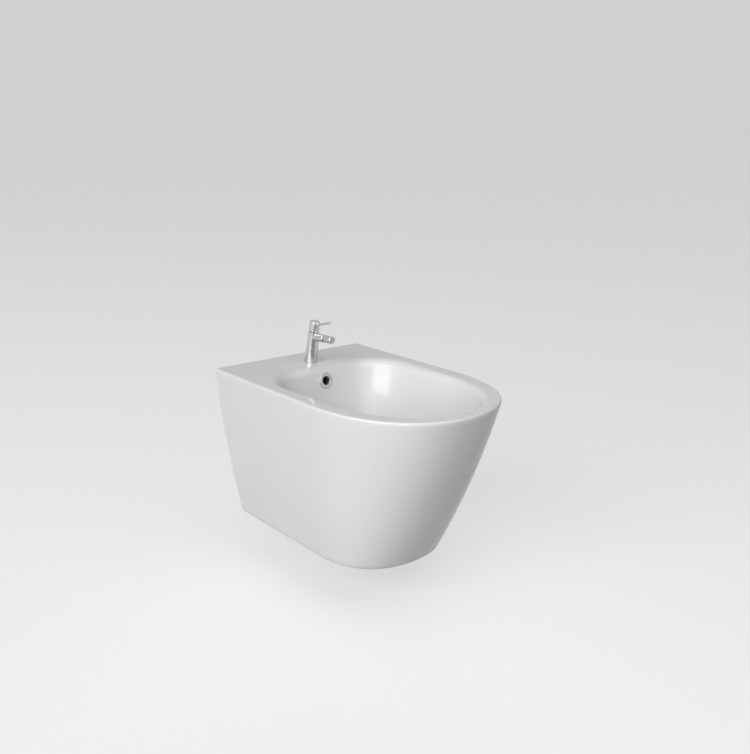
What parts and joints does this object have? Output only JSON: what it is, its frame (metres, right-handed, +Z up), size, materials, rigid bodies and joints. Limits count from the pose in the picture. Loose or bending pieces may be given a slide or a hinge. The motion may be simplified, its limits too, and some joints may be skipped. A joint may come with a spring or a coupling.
{
  "type": "wall-hung bidet",
  "caption": "Wall-hung bidet with a D-shaped tapering glazed bowl, a slim single-lever mixer with swivelling nozzle, overflow, click waste and bottle trap",
  "frame": {"origin": "On the wall plane, midway between the two wall fixing holes", "axes": "X to the right when facing the wall, Y into the wall so that the front of the bowl is at -Y, Z up"},
  "size_m": [0.3588, 0.5185, 0.4084],
  "materials": {
    "white_china": "white gloss glaze",
    "chrome_plate": "polished chrome plate on brass",
    "brass": "machined brass",
    "stainless": "turned stainless steel",
    "zinc_steel": "bright zinc plate",
    "black_rubber": "moulded rubber",
    "grey_rubber": "moulded rubber",
    "white_plastic": "white polypropylene",
    "pale_plastic": "acetal",
    "grey_plastic": "grey nylon",
    "disc_ceramic": "lapped alumina"
  },
  "bodies": {
    "bidet": {"ceramic_body": "white_china", "overflow_ring": "chrome_plate", "tap_body": "chrome_plate", "tap_base_seal": "black_rubber", "spout_tube": "chrome_plate", "swivel_ball": "chrome_plate", "cartridge_housing": "grey_plastic", "fixed_disc": "disc_ceramic", "cartridge_nut": "brass", "dome_cover": "chrome_plate", "mounting_stud": "brass", "horseshoe_gasket": "black_rubber", "horseshoe_washer": "zinc_steel", "tap_nut": "brass", "waste_body": "chrome_plate", "waste_seal_upper": "black_rubber", "waste_seal_lower": "black_rubber", "waste_backnut": "brass", "click_guide": "brass", "trap_inlet_nut": "white_plastic", "trap_inlet_seal": "grey_rubber", "trap_head": "white_plastic", "trap_cup": "white_plastic", "cup_seal": "grey_rubber", "trap_outlet_seal": "grey_rubber", "trap_outlet_nut": "white_plastic", "outlet_pipe": "white_plastic", "fixing_bushes": "pale_plastic", "fixing_washers": "zinc_steel", "fixing_nuts": "zinc_steel"},
    "turn_carrier": {"stem_carrier": "pale_plastic", "stem_pin": "stainless"},
    "lever": {"lever_cap": "chrome_plate", "lever_pin": "chrome_plate", "cartridge_stem": "stainless", "lever_grub_screw": "stainless", "grub_plug": "chrome_plate"},
    "disc": {"control_disc": "disc_ceramic"},
    "nozzle_gimbal": {"swivel_seal": "black_rubber"},
    "nozzle": {"nozzle_collar": "chrome_plate", "nozzle_shell": "chrome_plate", "aerator_insert": "grey_plastic"},
    "plug": {"waste_plug": "chrome_plate", "plug_seal": "black_rubber"}
  },
  "joints": [
    {"name": "lever_turn", "type": "hinge", "parent": "bidet", "child": "turn_carrier", "pos_m": [0, -0.0797, 0.14921], "axis": [0, -0.1616, 0.9869], "range_deg": [-45, 45]},
    {"name": "lever_lift", "type": "hinge", "parent": "turn_carrier", "child": "lever", "pos_m": [0, -0.0797, 0.14921], "axis": [-1, 0, 0], "range_deg": [0, 22]},
    {"name": "disc_slide", "type": "slide", "parent": "turn_carrier", "child": "disc", "axis": [0, -0.9869, -0.1616], "range_m": [0, 0.0019]},
    {"name": "nozzle_tilt", "type": "hinge", "parent": "bidet", "child": "nozzle_gimbal", "pos_m": [0, -0.12362, 0.14643], "axis": [1, 0, 0], "range_deg": [-15, 15]},
    {"name": "nozzle_pan", "type": "hinge", "parent": "nozzle_gimbal", "child": "nozzle", "pos_m": [0, -0.12362, 0.14643], "axis": [0, 0.0698, 0.9976], "range_deg": [-15, 15]},
    {"name": "plug_lift", "type": "slide", "parent": "bidet", "child": "plug", "axis": [0, 0, 1], "range_m": [0, 0.008]}
  ],
  "couplings": [
    {"joint": "disc_slide", "follows": "lever_lift", "m_per_rad": 0.0049}
  ]
}
